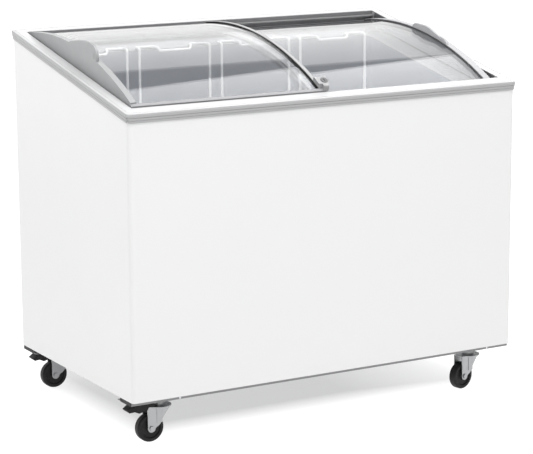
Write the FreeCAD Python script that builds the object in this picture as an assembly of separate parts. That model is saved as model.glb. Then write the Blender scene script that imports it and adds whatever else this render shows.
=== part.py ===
import FreeCAD, Part
import math
import os

# Chest freezer with two curved glass lids that slide over each other, four hanging wire baskets and four castors.
# World frame: millimetres, +X along the front to the right, +Y from the front to the back, +Z up, the origin on
# the floor under the middle of the freezer.
# The top slopes down towards the front. Everything on it is drawn in the top's own frame first: x along the front,
# s up the slope from the outer front edge, n square to the slope from the frame's flat top. tilt() carries it over.

Vector = FreeCAD.Vector

# overall size
TOTAL_WIDTH = 1046.0
TOTAL_DEPTH = 628.0
OVERHANG = 4.0
BODY_BOTTOM = 109.0
FRONT_TOP = 761.0
SLOPE_DEG = 11.73
CORNER_RADIUS = 9.0
SHEET = 1.0

# top frame
FRAME_FLAT = 29.5
FRAME_FLAT_FRONT = 36.0
FRAME_FACE = 21.5
FRAME_DRAFT = 2.5
FRAME_WALL = 3.0
LIP_ROUND = 4.0

# insulated walls and the cavity that they leave
WALL_SIDE = 62.0
WALL_FRONT = 60.0
FLOOR_THICKNESS = 60.0
LINER_CORNER = 28.0
LINER_TOP = -52.0
HUMP_LEFT = 225.0
HUMP_TOP = 412.0
HUMP_WALL = 40.0

# sliding lids: a shared arc, the right lid running lower than the left one
ARC_RADIUS = 892.0
ARC_S = 313.5
ARC_N = -847.0
LID_DROP = 20.0
GLASS = 5.0
LID_FRONT = 39.0
LID_BACK = 608.6
GLIDE_DEPTH = 9.0
LEFT_LID = (-491.5, 0.0)
RIGHT_LID = (-35.0, 486.0)
END_PANEL = 3.0
RIM_HEIGHT = 4.0
FIN_THICK = 7.0

# the two grips' crests: (distance along the slope from the arc's middle, height over the rim)
LEFT_CREST = ((72, -4), (42, 7.5), (10, 18.6), (-24, 26.7), (-50, 29), (-70, 24.9), (-81, 14.5), (-85, 0))
RIGHT_CREST = ((86, -4), (77, 4), (45, 7.5), (16, 12.5), (-15, 15.5), (-45, 11.5), (-66, 6), (-72, -2))

# tracks: two shelves, one above the other
TRACK_WALL = 2.5
TRACK_TOP = -0.6
TRACK_BOTTOM = -36.0
SHELF = 2.5
UPPER_SHELF_TOP = -10.0
LOWER_SHELF_TOP = -30.0
UPPER_SHELF_DEPTH = 8.0
LOWER_SHELF_DEPTH = 13.5
GLIDE_GAP = 0.3

# collar between the tracks and the liner
LEDGE_N = -50.0
LEDGE_WIDTH = 16.0
COLLAR_WALL = 2.0

# lock on the left lid
LOCK_X = (-9.0, 21.0)
LOCK_NOSE_X = 15.0
LOCK_S = (38.8, 75.0)
LOCK_FLOOR = 0.6
LOCK_FRONT_TOP = 14.0
LOCK_TILT_DEG = 18.0
BARREL_RADIUS = 9.0
BARREL_AT = (10.5, 59.0)
BARREL_DEPTH = 14.0
BARREL_PROUD = 1.5
BOLT_RADIUS = 2.5
BOLT_AT = (7.0, 42.6)
BOLT_FOOT = -9.2

# baskets
BASKET_PITCH = 230.0
BASKET_SHIFT = -4.5
BASKET_HALF = 98.0
BASKET_END = 233.0
BASKET_BOTTOM = 430.0
BASKET_RIM = 645.0
FRAME_WIRE = 3.25
MESH_WIRE = 1.6
WIRE_BEND = 6.5

# base rails
RAIL_HEIGHT = 9.0
RAIL_DEPTH = 53.0
RAIL_SETBACK = 12.0
RAIL_WALL = 1.5
RAIL_FLANGE = 16.0
PLUG = 8.0
PLUG_CAP = 1.5

# machine compartment
COMPRESSOR_X = 395.0
COMPRESSOR_Y = 130.0
CAN_RADIUS = 68.0
KNOB_STEM = 4.0
GLAND_RADIUS = 8.0

# castors
CASTOR_X = 429.0
CASTOR_FRONT = -258.0
CASTOR_REAR = 269.0
CASTOR_HEIGHT = 100.0
WHEEL_RADIUS = 33.0
WHEEL_WIDTH = 20.0
TRAIL = 25.0
AXLE_RADIUS = 4.0
RUNNING_FIT = 0.08
CROWN_TOP = 84.0
CROWN_RADIUS = 29.0
FORK_SHEET = 2.5
FORK_HALF = 14.0
BEARING_SPLIT = 90.4
PLATE_HALF = 26.0
PLATE_THICK = 2.5
PLATE_BOLT = 19.0
PEDAL_PIVOT = (-22.0, 87.0)
PEDAL_PIN = 2.0

# swivel axis in x and y, the way it has been left turned, and whether it has a brake
CASTORS = {
    "front_left": (-CASTOR_X, CASTOR_FRONT, 0.0, True),
    "rear_left": (-CASTOR_X, CASTOR_REAR, 0.0, True),
    "front_right": (CASTOR_X, CASTOR_FRONT, 13.0, False),
    "rear_right": (CASTOR_X, CASTOR_REAR, 0.0, False),
}

# worked out from the driving dimensions
SLOPE = math.radians(SLOPE_DEG)
SLANT = TOTAL_DEPTH / math.cos(SLOPE)
BODY_X = TOTAL_WIDTH / 2 - OVERHANG
BODY_Y = TOTAL_DEPTH / 2 - OVERHANG
OPENING_X = TOTAL_WIDTH / 2 - FRAME_FLAT
OPENING_S = (FRAME_FLAT_FRONT, SLANT - FRAME_FLAT)
LINER_X = BODY_X - WALL_SIDE
LINER_Y = BODY_Y - WALL_FRONT
LINER_FLOOR = BODY_BOTTOM + FLOOR_THICKNESS
RAIL_BOTTOM = BODY_BOTTOM - RAIL_HEIGHT
RAIL_HALF = BODY_X - PLUG_CAP
RAIL_Y = {"front": -BODY_Y + RAIL_SETBACK, "rear": BODY_Y - RAIL_SETBACK - RAIL_DEPTH}
GLASS_S = (LID_FRONT + 2.0, LID_BACK - 2.0)
MACHINE_FLOOR = BODY_BOTTOM + SHEET
MACHINE_CEILING = HUMP_TOP - HUMP_WALL
VENT_X = (HUMP_LEFT + HUMP_WALL + 6, BODY_X - 26)
VENT_Y = BODY_Y - 16.0
VENT_Z = (BODY_BOTTOM + 8, MACHINE_CEILING - 6)
KNOB_X = VENT_X[0] + 50
KNOB_Z = VENT_Z[1] - 34
GLAND_X = VENT_X[1] - 40
FAR = 2000.0


# ---- small helpers -------------------------------------------------------------------------------------------

def box(low, high):
    size = [b - a for a, b in zip(low, high)]
    return Part.makeBox(size[0], size[1], size[2], Vector(*low))


def rod(radius, start, end):
    start = Vector(*start)
    along = Vector(*end) - start
    return Part.makeCylinder(radius, along.Length, start, along)


def wire_of(points):
    corners = [Vector(*p) for p in points]
    return Part.makePolygon(corners + corners[:1])


def side_prism(outline, x0, x1):
    """A closed outline of (s, n) or (y, z) points, drawn out along X."""
    face = Part.Face(wire_of([(x0, a, b) for a, b in outline]))
    return face.extrude(Vector(x1 - x0, 0, 0))


def rounded_wire(x0, y0, x1, y1, radius, z):
    """A rectangle with round corners, level at height z."""
    edges = []
    corners = [(x1 - radius, y0 + radius, 270), (x1 - radius, y1 - radius, 0),
               (x0 + radius, y1 - radius, 90), (x0 + radius, y0 + radius, 180)]
    previous = None
    first = None
    for cx, cy, start in corners:
        def on(angle):
            turn = math.radians(start + angle)
            return Vector(cx + radius * math.cos(turn), cy + radius * math.sin(turn), z)
        if previous is not None:
            edges.append(Part.makeLine(previous, on(0)))
        else:
            first = on(0)
        edges.append(Part.Arc(on(0), on(45), on(90)).toShape())
        previous = on(90)
    edges.append(Part.makeLine(previous, first))
    return Part.Wire(edges)


def rounded_prism(x0, y0, x1, y1, radius, z0, z1):
    return Part.Face(rounded_wire(x0, y0, x1, y1, radius, z0)).extrude(Vector(0, 0, z1 - z0))


def bent_path(points, radius):
    """Straight runs joined by tangent arcs."""
    points = [Vector(*p) for p in points]
    edges = []
    here = points[0]
    for before, corner, after in zip(points, points[1:], points[2:]):
        inward = (corner - before).normalize()
        onward = (after - corner).normalize()
        half_turn = inward.getAngle(onward) / 2
        setback = radius * math.tan(half_turn)
        bow = (onward - inward).normalize() * (radius / math.cos(half_turn) - radius)
        start = corner - inward * setback
        end = corner + onward * setback
        edges.append(Part.makeLine(here, start))
        edges.append(Part.Arc(start, corner + bow, end).toShape())
        here = end
    edges.append(Part.makeLine(here, points[-1]))
    return Part.Wire(edges)


def tube_along(points, bend, radius):
    """A round rod along a bent path."""
    path = bent_path(points, bend)
    start = Vector(*points[0])
    ring = Part.Wire(Part.makeCircle(radius, start, Vector(*points[1]) - start))
    return path.makePipeShell([ring], True, True)


def tilt(shape):
    """From the sloping top's frame to the world."""
    moved = shape.copy()
    moved.rotate(Vector(0, 0, 0), Vector(1, 0, 0), SLOPE_DEG)
    moved.translate(Vector(0, -TOTAL_DEPTH / 2, FRONT_TOP))
    return moved


def slope_point(y, n):
    """The s on the slope, and the height z in the world, of a point at depth y that stands n off the top's plane."""
    run = y + TOTAL_DEPTH / 2
    rise = (n + run * math.sin(SLOPE)) / math.cos(SLOPE)
    return run * math.cos(SLOPE) + rise * math.sin(SLOPE), FRONT_TOP + rise


def above(n):
    """All the space above a plane that lies n off the top's plane."""
    return tilt(box((-FAR, -FAR, n), (FAR, FAR, n + FAR)))


def split(shape, regions):
    """A folded or welded piece, parted where its flat panels meet. Each region takes its share of what is left."""
    panels = []
    for low, high in regions:
        region = box(low, high)
        panels += shape.common(region).Solids
        shape = shape.cut(region)
    return Part.makeCompound(panels + shape.Solids)


def save(name, shape):
    shape.exportStep("parts/" + name + ".step")


# ---- sloping top frame ---------------------------------------------------------------------------------------

def frame_ring():
    """The whole surround: a flat deck, a skirt outside that laps the cabinet, and a skirt inside round the opening."""
    half = TOTAL_WIDTH / 2

    def outline(inset, n):
        s_front = slope_edge(-TOTAL_DEPTH / 2 + inset, n)
        s_back = slope_edge(TOTAL_DEPTH / 2 - inset, n)
        return rounded_wire(-half + inset, s_front, half - inset, s_back, CORNER_RADIUS, n)

    def slope_edge(y, n):
        return slope_point(y, n)[0]

    outer = Part.makeLoft([outline(FRAME_DRAFT, -FRAME_FACE), outline(0, -LIP_ROUND)], True, True)
    lip = Part.makeLoft([outline(0, -LIP_ROUND), outline(0.3 * LIP_ROUND, -0.3 * LIP_ROUND),
                         outline(LIP_ROUND, 0)], True, True)
    ring = outer.fuse(lip)
    ring = ring.cut(box((-OPENING_X, OPENING_S[0], -FAR), (OPENING_X, OPENING_S[1], FAR)))
    # the hollow between the two skirts, which the cabinet's walls stand up into
    hollow = box((-BODY_X, -BODY_Y, 0), (BODY_X, BODY_Y, FAR)).cut(above(-FRAME_WALL))
    inner_wall = tilt(box((-OPENING_X - FRAME_WALL, OPENING_S[0] - FRAME_WALL, -FAR),
                          (OPENING_X + FRAME_WALL, OPENING_S[1] + FRAME_WALL, FAR)))
    ring = tilt(ring).cut(hollow.cut(inner_wall))
    # a fine groove round the deck, and two round the face
    groove = 0.8
    deck_cut = rounded_prism(-half + 7, 7, half - 7, SLANT - 7, CORNER_RADIUS, -groove, groove)
    deck_core = rounded_prism(-half + 7 + groove, 7 + groove, half - 7 - groove, SLANT - 7 - groove,
                              CORNER_RADIUS - groove, -1, 1)
    ring = ring.cut(tilt(deck_cut.cut(deck_core)))
    for n in (-10.0, -16.0):
        core = Part.Face(outline(FRAME_DRAFT + 0.2, n - 0.5)).extrude(Vector(0, 0, 1.0))
        band = box((-FAR, -FAR, n - 0.5), (FAR, FAR, n + 0.5)).cut(core)
        ring = ring.cut(tilt(band))
    return ring


def frame_bars():
    """The surround as four bars, mitred at the corners."""
    ring = frame_ring()
    half = TOTAL_WIDTH / 2
    reach = 3.0
    names = {}
    outer = [(-half, 0), (half, 0), (half, SLANT), (-half, SLANT)]
    inner = [(-OPENING_X, OPENING_S[0]), (OPENING_X, OPENING_S[0]),
             (OPENING_X, OPENING_S[1]), (-OPENING_X, OPENING_S[1])]
    out = [(i[0] + (o[0] - i[0]) * reach, i[1] + (o[1] - i[1]) * reach) for o, i in zip(outer, inner)]
    back = [(i[0] - (o[0] - i[0]) * 0.2, i[1] - (o[1] - i[1]) * 0.2) for o, i in zip(outer, inner)]
    for k, name in enumerate(("frame_front", "frame_right", "frame_rear", "frame_left")):
        m = (k + 1) % 4
        corners = [(x, s, -FAR / 4) for x, s in (out[k], back[k], back[m], out[m])]
        wedge = Part.Face(wire_of(corners)).extrude(Vector(0, 0, FAR / 2))
        names[name] = max(ring.common(tilt(wedge)).Solids, key=lambda solid: solid.Volume)
    return names


# ---- tracks and collar ---------------------------------------------------------------------------------------

def track(wall, facing):
    """A lining of the opening's front or rear wall with two shelves. facing is +1 where the shelves point up the
    slope, and -1 where they point down it."""
    def across(distance):
        return wall + facing * distance
    outline = [(across(0), TRACK_TOP), (across(TRACK_WALL), TRACK_TOP)]
    for top, depth in ((UPPER_SHELF_TOP, UPPER_SHELF_DEPTH), (LOWER_SHELF_TOP, LOWER_SHELF_DEPTH)):
        outline += [(across(TRACK_WALL), top), (across(TRACK_WALL + depth), top),
                    (across(TRACK_WALL + depth), top - SHELF), (across(TRACK_WALL), top - SHELF)]
    outline += [(across(TRACK_WALL), TRACK_BOTTOM), (across(0), TRACK_BOTTOM)]
    x, s = BOLT_AT
    bolt_hole = rod(BOLT_RADIUS + 0.5, (x, s, UPPER_SHELF_TOP - 2 * SHELF), (x, s, UPPER_SHELF_TOP + SHELF))
    return tilt(side_prism(outline, -OPENING_X, OPENING_X).cut(bolt_hole))


def side_trims():
    """The two linings of the opening's side walls, between the tracks."""
    front = OPENING_S[0] + TRACK_WALL + LOWER_SHELF_DEPTH
    back = OPENING_S[1] - TRACK_WALL - LOWER_SHELF_DEPTH
    thin = 1.5
    pair = []
    for side in (-1, 1):
        walls = sorted((side * OPENING_X, side * (OPENING_X - thin)))
        pair.append(tilt(box((walls[0], front, TRACK_BOTTOM), (walls[1], back, TRACK_TOP))))
    return Part.makeCompound(pair)


def collar():
    """A funnel from the foot of the tracks to a ledge, where the baskets hang, and on to the liner's top edge."""
    front_inner = slope_point(-LINER_Y, LEDGE_N)[0]
    back_inner = slope_point(LINER_Y, LEDGE_N)[0]
    front_ledge = min(LEDGE_WIDTH, 12.0)

    def mouth(grow):
        return rounded_wire(-OPENING_X + 1.5 - grow, OPENING_S[0] + TRACK_WALL - grow, OPENING_X - 1.5 + grow,
                            OPENING_S[1] - TRACK_WALL + grow, LINER_CORNER, TRACK_BOTTOM)

    def ledge(grow):
        return rounded_wire(-LINER_X - LEDGE_WIDTH - grow, front_inner - front_ledge - grow,
                            LINER_X + LEDGE_WIDTH + grow, back_inner + LEDGE_WIDTH + grow, LINER_CORNER, LEDGE_N)
    funnel = Part.makeLoft([ledge(COLLAR_WALL), mouth(COLLAR_WALL)], True, True)
    funnel = funnel.cut(Part.makeLoft([ledge(0), mouth(0)], True, True))
    flat = Part.Face(ledge(COLLAR_WALL)).extrude(Vector(0, 0, -COLLAR_WALL))
    hole = rounded_prism(-LINER_X, front_inner, LINER_X, back_inner, LINER_CORNER,
                         LEDGE_N - 2 * COLLAR_WALL, LEDGE_N + COLLAR_WALL)
    return tilt(funnel.fuse(flat.cut(hole)).removeSplitter())


# ---- cabinet -------------------------------------------------------------------------------------------------

def cabinet_wrap():
    """One painted sheet folded round the left, the front and the right, with a narrow return at the back."""
    back_return = 20.0
    outer = rounded_prism(-BODY_X, -BODY_Y, BODY_X, BODY_Y, CORNER_RADIUS, BODY_BOTTOM, FAR)
    inner = rounded_prism(-BODY_X + SHEET, -BODY_Y + SHEET, BODY_X - SHEET, BODY_Y - SHEET,
                          CORNER_RADIUS - SHEET, BODY_BOTTOM - 1, FAR)
    gap = box((-BODY_X + back_return, 0, 0), (BODY_X - back_return, FAR, FAR))
    return outer.cut(inner).cut(gap).cut(above(-FRAME_WALL))


def machine_space():
    """The space for the compressor, low on the right, open at the back."""
    return box((HUMP_LEFT + HUMP_WALL, -BODY_Y + WALL_FRONT / 2, BODY_BOTTOM + SHEET),
               (BODY_X - SHEET, BODY_Y, MACHINE_CEILING))


def back_panel():
    """A plain sheet behind the insulation, screwed to the wrap's returns, with a window to the compressor."""
    half = BODY_X - CORNER_RADIUS - 0.5
    sheet = box((-half, BODY_Y - 2 * SHEET, BODY_BOTTOM + SHEET), (half, BODY_Y - SHEET, FAR))
    window = box((VENT_X[0], 0, VENT_Z[0]), (VENT_X[1], FAR, VENT_Z[1]))
    return sheet.cut(window).cut(above(-FRAME_WALL))


def bottom_panel():
    edge = SHEET + 0.3
    return rounded_prism(-BODY_X + edge, -BODY_Y + edge, BODY_X - edge, BODY_Y - edge, CORNER_RADIUS - edge,
                         BODY_BOTTOM, BODY_BOTTOM + SHEET)


def liner_block(grow, top):
    """The cavity's shape with the hump taken out, grown outwards by the sheet's thickness for its outer side."""
    block = rounded_prism(-LINER_X - grow, -LINER_Y - grow, LINER_X + grow, LINER_Y + grow,
                          LINER_CORNER + grow, LINER_FLOOR - grow, top)
    hump = box((HUMP_LEFT + grow, -FAR, 0), (FAR, FAR, HUMP_TOP - grow))
    return block.cut(hump)


def inner_liner():
    """Embossed sheet: a floor, a step over the machine compartment, four walls and their round corners."""
    shell = liner_block(SHEET, FAR).cut(liner_block(0, FAR + 1)).cut(above(LINER_TOP))
    corner_x = LINER_X - LINER_CORNER
    corner_y = LINER_Y - LINER_CORNER
    return split(shell, [
        ((-FAR, -FAR, 0), (FAR, FAR, LINER_FLOOR)),
        ((HUMP_LEFT, -FAR, 0), (HUMP_LEFT + SHEET, FAR, HUMP_TOP)),
        ((HUMP_LEFT, -FAR, 0), (FAR, FAR, HUMP_TOP)),
        ((-corner_x, -FAR, 0), (corner_x, -corner_y, FAR)),
        ((-corner_x, corner_y, 0), (corner_x, FAR, FAR)),
        ((-FAR, -corner_y, 0), (0, corner_y, FAR)),
        ((0, -corner_y, 0), (FAR, corner_y, FAR)),
    ])


def coil(x, y, heights, bend, radius, start_x):
    """A tube wound round the walls: one rising turn for each step between heights. Both ends lie in the front wall."""
    points = [(start_x, -y, heights[0])]
    for low, high in zip(heights, heights[1:]):
        step = (high - low) / 4
        points += [(-x, -y, low + step), (-x, y, low + 2 * step), (x, y, low + 3 * step), (x, -y, high)]
    points.append((start_x, -y, heights[-1]))
    return tube_along(points, bend, radius)


def evaporator():
    return coil(LINER_X + SHEET + 5, LINER_Y + SHEET + 5, [440, 480, 520, 560, 600, 640], 36.0, 4.0, 0.0)


def condenser():
    return coil(BODY_X - SHEET - 4, BODY_Y - 2 * SHEET - 4, [400, 450, 500, 550, 600, 650], 14.0, 2.5, 60.0)


def insulation(coils):
    """Foam that fills the walls, with the two coils cast in."""
    gap = 2.5
    block = rounded_prism(-BODY_X + SHEET, -BODY_Y + SHEET, BODY_X - SHEET, BODY_Y - 2 * SHEET,
                          CORNER_RADIUS - SHEET, BODY_BOTTOM + SHEET, FAR)
    foam = block.cut(liner_block(SHEET, FAR + 1)).cut(machine_space()).cut(above(LINER_TOP - gap))
    for tube in coils:
        foam = foam.cut(tube)
    return foam


# ---- machine compartment -------------------------------------------------------------------------------------

def compressor():
    """A welded steel can on a foot plate, with its two pipe stubs."""
    radius = CAN_RADIUS
    foot = MACHINE_FLOOR + 12
    low = foot + 3
    outline = [(0, low), (radius - 14, low), (radius, low + 16), (radius, low + 96), (radius - 18, low + 124),
               (0, low + 138)]
    can = Part.Face(wire_of([(r, 0, z) for r, z in outline])).revolve(Vector(0, 0, 0), Vector(0, 0, 1), 360)
    can = can.fuse(rod(radius + 3, (0, 0, low + 56), (0, 0, low + 62)))
    plate = rounded_prism(-95, -62, 95, 62, 10, foot, foot + 3)
    for x, y in grommet_places():
        plate = plate.cut(rod(6, (x, y, 0), (x, y, FAR)))
    stubs = rod(4, (0, -radius - 22, low + 80), (0, -radius + 8, low + 80))
    stubs = stubs.fuse(rod(3, (30, -radius - 16, low + 40), (30, -radius + 20, low + 40)))
    whole = can.fuse(plate).fuse(stubs)
    whole.translate(Vector(COMPRESSOR_X, COMPRESSOR_Y, 0))
    return whole


def grommet_places():
    return [(x, y) for x in (-82, 82) for y in (-48, 48)]


def compressor_grommets():
    """Four rubber mounts, waisted where the foot plate sits in them."""
    mounts = []
    for x, y in grommet_places():
        x += COMPRESSOR_X
        y += COMPRESSOR_Y
        base = rod(11, (x, y, MACHINE_FLOOR), (x, y, MACHINE_FLOOR + 12))
        neck = rod(6, (x, y, MACHINE_FLOOR + 12), (x, y, MACHINE_FLOOR + 15))
        cap = rod(9, (x, y, MACHINE_FLOOR + 15), (x, y, MACHINE_FLOOR + 19))
        mounts.append(base.fuse(neck).fuse(cap))
    return Part.makeCompound(mounts)


def relay_box():
    """The starter's plastic cover on the side of the can."""
    side = COMPRESSOR_X - CAN_RADIUS
    cover = rounded_prism(side - 34, COMPRESSOR_Y - 26, side + 4, COMPRESSOR_Y + 26, 5,
                          MACHINE_FLOOR + 40, MACHINE_FLOOR + 110)
    return cover.cut(rod(CAN_RADIUS + 3.2, (COMPRESSOR_X, COMPRESSOR_Y, 0), (COMPRESSOR_X, COMPRESSOR_Y, FAR)))


def pipework():
    """The suction pipe, the discharge pipe, and the copper drier with its capillary up to the coils in the foam."""
    stub_y = COMPRESSOR_Y - CAN_RADIUS
    suction_z = MACHINE_FLOOR + 95
    discharge_z = MACHINE_FLOOR + 55
    x = COMPRESSOR_X
    suction = tube_along([(x, stub_y - 22, suction_z), (x, stub_y - 62, suction_z), (x, stub_y - 62, suction_z + 70),
                          (x - 60, stub_y - 82, suction_z + 90), (x - 60, stub_y - 82, MACHINE_CEILING)], 16.0, 4.0)
    drier_x = x + 60
    drier_y = stub_y - 62
    drier_z = MACHINE_FLOOR + 60
    discharge = tube_along([(x + 30, stub_y - 16, discharge_z), (x + 30, stub_y - 50, discharge_z),
                            (x + 30, drier_y, discharge_z - 35), (drier_x, drier_y, discharge_z - 35),
                            (drier_x, drier_y, drier_z)], 8.0, 3.0)
    top = MACHINE_CEILING - drier_z
    outline = [(0, 0), (3, 0), (3, 10), (10, 22), (10, 88), (2, 100), (2, top), (0, top)]
    drier = Part.Face(wire_of([(r, 0, h) for r, h in outline])).revolve(Vector(0, 0, 0), Vector(0, 0, 1), 360)
    drier.translate(Vector(drier_x, drier_y, drier_z))
    return Part.makeCompound([suction, discharge, drier])


def rear_grille():
    """A pressed steel cover over the compressor's window, set in from the back, with slanted louvres."""
    plate = box((VENT_X[0] - 4, VENT_Y, VENT_Z[0] - 4), (VENT_X[1] + 4, VENT_Y + 1.5, VENT_Z[1] + 4))
    slot_x = (VENT_X[0] + 18, VENT_X[1] - 18)
    pitch = 18.0
    first = VENT_Z[0] + 20
    for k in range(9):
        z = first + k * pitch
        slot = box((slot_x[0], 0, z), (slot_x[1], FAR, z + 8))
        hood = side_prism([(VENT_Y + 1.5, z + 8), (VENT_Y + 1.5, z + 10), (VENT_Y + 8, z + 3), (VENT_Y + 7, z + 1.6)],
                          slot_x[0] - 1, slot_x[1] + 1)
        plate = plate.cut(slot).fuse(hood)
    plate = plate.cut(rod(KNOB_STEM + 0.08, (KNOB_X, 0, KNOB_Z), (KNOB_X, FAR, KNOB_Z)))
    return plate.cut(rod(GLAND_RADIUS, (GLAND_X, 0, KNOB_Z), (GLAND_X, FAR, KNOB_Z)))


def thermostat_knob():
    """A fluted knob on its stem, which passes through the grille."""
    knob = rod(17, (KNOB_X, VENT_Y + 2.5, KNOB_Z), (KNOB_X, VENT_Y + 15, KNOB_Z))
    flutes = 16
    for k in range(flutes):
        turn = 2 * math.pi * k / flutes
        x = KNOB_X + 17.6 * math.cos(turn)
        z = KNOB_Z + 17.6 * math.sin(turn)
        knob = knob.cut(rod(1.5, (x, VENT_Y + 4, z), (x, VENT_Y + 20, z)))
    pointer = box((KNOB_X - 0.8, VENT_Y + 14.3, KNOB_Z), (KNOB_X + 0.8, VENT_Y + 20, KNOB_Z + 15))
    stem = rod(KNOB_STEM, (KNOB_X, VENT_Y - 9.7, KNOB_Z), (KNOB_X, VENT_Y + 3, KNOB_Z))
    return knob.cut(pointer).fuse(stem)


def thermostat():
    """The switch body behind the grille."""
    return rounded_prism(KNOB_X - 24, VENT_Y - 40, KNOB_X + 24, VENT_Y - 10, 4, KNOB_Z - 20, KNOB_Z + 20)


def cable_gland():
    """The hollow gland where the mains lead passes the grille."""
    outer = rod(GLAND_RADIUS, (GLAND_X, VENT_Y - 8, KNOB_Z), (GLAND_X, VENT_Y + 1.5, KNOB_Z))
    nut = rod(12, (GLAND_X, VENT_Y + 1.5, KNOB_Z), (GLAND_X, VENT_Y + 9, KNOB_Z))
    lock_ring = rod(11, (GLAND_X, VENT_Y - 5, KNOB_Z), (GLAND_X, VENT_Y, KNOB_Z))
    bore = rod(4, (GLAND_X, 0, KNOB_Z), (GLAND_X, FAR, KNOB_Z))
    return outer.fuse(nut).fuse(lock_ring).cut(bore)


def panel_screws():
    """Pan-head screws that hold the back panel to the wrap's returns and to the bottom, and small ones in the front
    rail."""
    screws = []
    for x in (-BODY_X + 14, BODY_X - 14):
        for z in (400, 560, 720):
            screws.append(screw_at(x, BODY_Y, z))
    for x in (-360, -120, 120):
        screws.append(screw_at(x, BODY_Y - SHEET, BODY_BOTTOM + 14))
    for x in (-CASTOR_X + 34, CASTOR_X + 28):
        head = rod(2.2, (x, RAIL_Y["front"], RAIL_BOTTOM + 3), (x, RAIL_Y["front"] - 1.2, RAIL_BOTTOM + 3))
        screws.append(head)
    return Part.makeCompound(screws)


def screw_at(x, face, z):
    head = Part.makeSphere(5.4, Vector(x, face - 3.0, z))
    head = head.common(box((x - 9, face, z - 9), (x + 9, face + 9, z + 9)))
    slot = box((x - 0.5, face + 1.4, z - 3), (x + 0.5, face + 9, z + 3))
    cross = box((x - 3, face + 1.4, z - 0.5), (x + 3, face + 9, z + 0.5))
    return head.cut(slot).cut(cross)


# ---- lids ----------------------------------------------------------------------------------------------------

def disc(radius, x0, x1, drop):
    centre = (ARC_S, ARC_N - drop)
    return rod(radius, (x0, centre[0], centre[1]), (x1, centre[0], centre[1]))


def arc_band(r_in, r_out, s0, s1, x0, x1, drop):
    """A strip of the lid's arc between two radii, cut off square at s0 and s1."""
    band = disc(r_out, x0, x1, drop).cut(disc(r_in, x0 - 1, x1 + 1, drop))
    return band.common(box((x0, s0, ARC_N), (x1, s1, FAR)))


def arc_height(s, radius, drop):
    return ARC_N - drop + math.sqrt(radius ** 2 - (s - ARC_S) ** 2)


def glide(s0, s1, x0, x1, drop):
    """The plastic edge strip that grips the glass and runs on a shelf."""
    bottom = UPPER_SHELF_TOP + GLIDE_GAP - drop
    top = ARC_RADIUS + 1.0
    outline = [(s0, bottom), (s1, bottom), (s1, arc_height(s1, top, drop)), (s0, arc_height(s0, top, drop))]
    strip = side_prism(outline, x0, x1)
    return strip.cut(arc_band(ARC_RADIUS - GLASS, ARC_RADIUS, GLASS_S[0], GLASS_S[1], x0, x1, drop))


def fin(points, facing):
    """The grip's outline. facing is +1 where its steep end is towards the front."""
    def at(along, height):
        s = ARC_S + facing * along
        return Vector(0, s, arc_height(ARC_S, ARC_RADIUS, 0) + RIM_HEIGHT + height)
    crest = Part.BSplineCurve()
    crest.interpolate([at(*point) for point in points])
    root = -12
    first = points[0]
    last = points[-1]
    edges = [
        crest.toShape(),
        Part.makeLine(at(*last), at(last[0], root)),
        Part.makeLine(at(last[0], root), at(first[0], root)),
        Part.makeLine(at(first[0], root), at(*first)),
    ]
    return Part.Face(Part.Wire(edges))


def handle(x_outer, inward, points, facing, drop):
    """A fin that stands on the end rim, with three fine ribs at its steep end."""
    blade = fin(points, facing).extrude(Vector(inward * FIN_THICK, 0, 0))
    blade.translate(Vector(x_outer, 0, -drop))
    crest = [edge for edge in blade.Edges if isinstance(edge.Curve, Part.BSplineCurve)]
    blade = blade.makeFillet(1.8, crest)
    blade = blade.cut(disc(ARC_RADIUS + RIM_HEIGHT, -FAR, FAR, drop))
    for k in range(3):
        s = ARC_S + facing * (points[-1][0] + 7 + 5 * k)
        low = arc_height(s, ARC_RADIUS, drop) + RIM_HEIGHT + 2
        wall = x_outer + inward * 0.6
        slit = box((min(x_outer - inward, wall), s - 0.6, low), (max(x_outer - inward, wall), s + 0.6, low + 12))
        blade = blade.cut(slit)
    return blade


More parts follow.
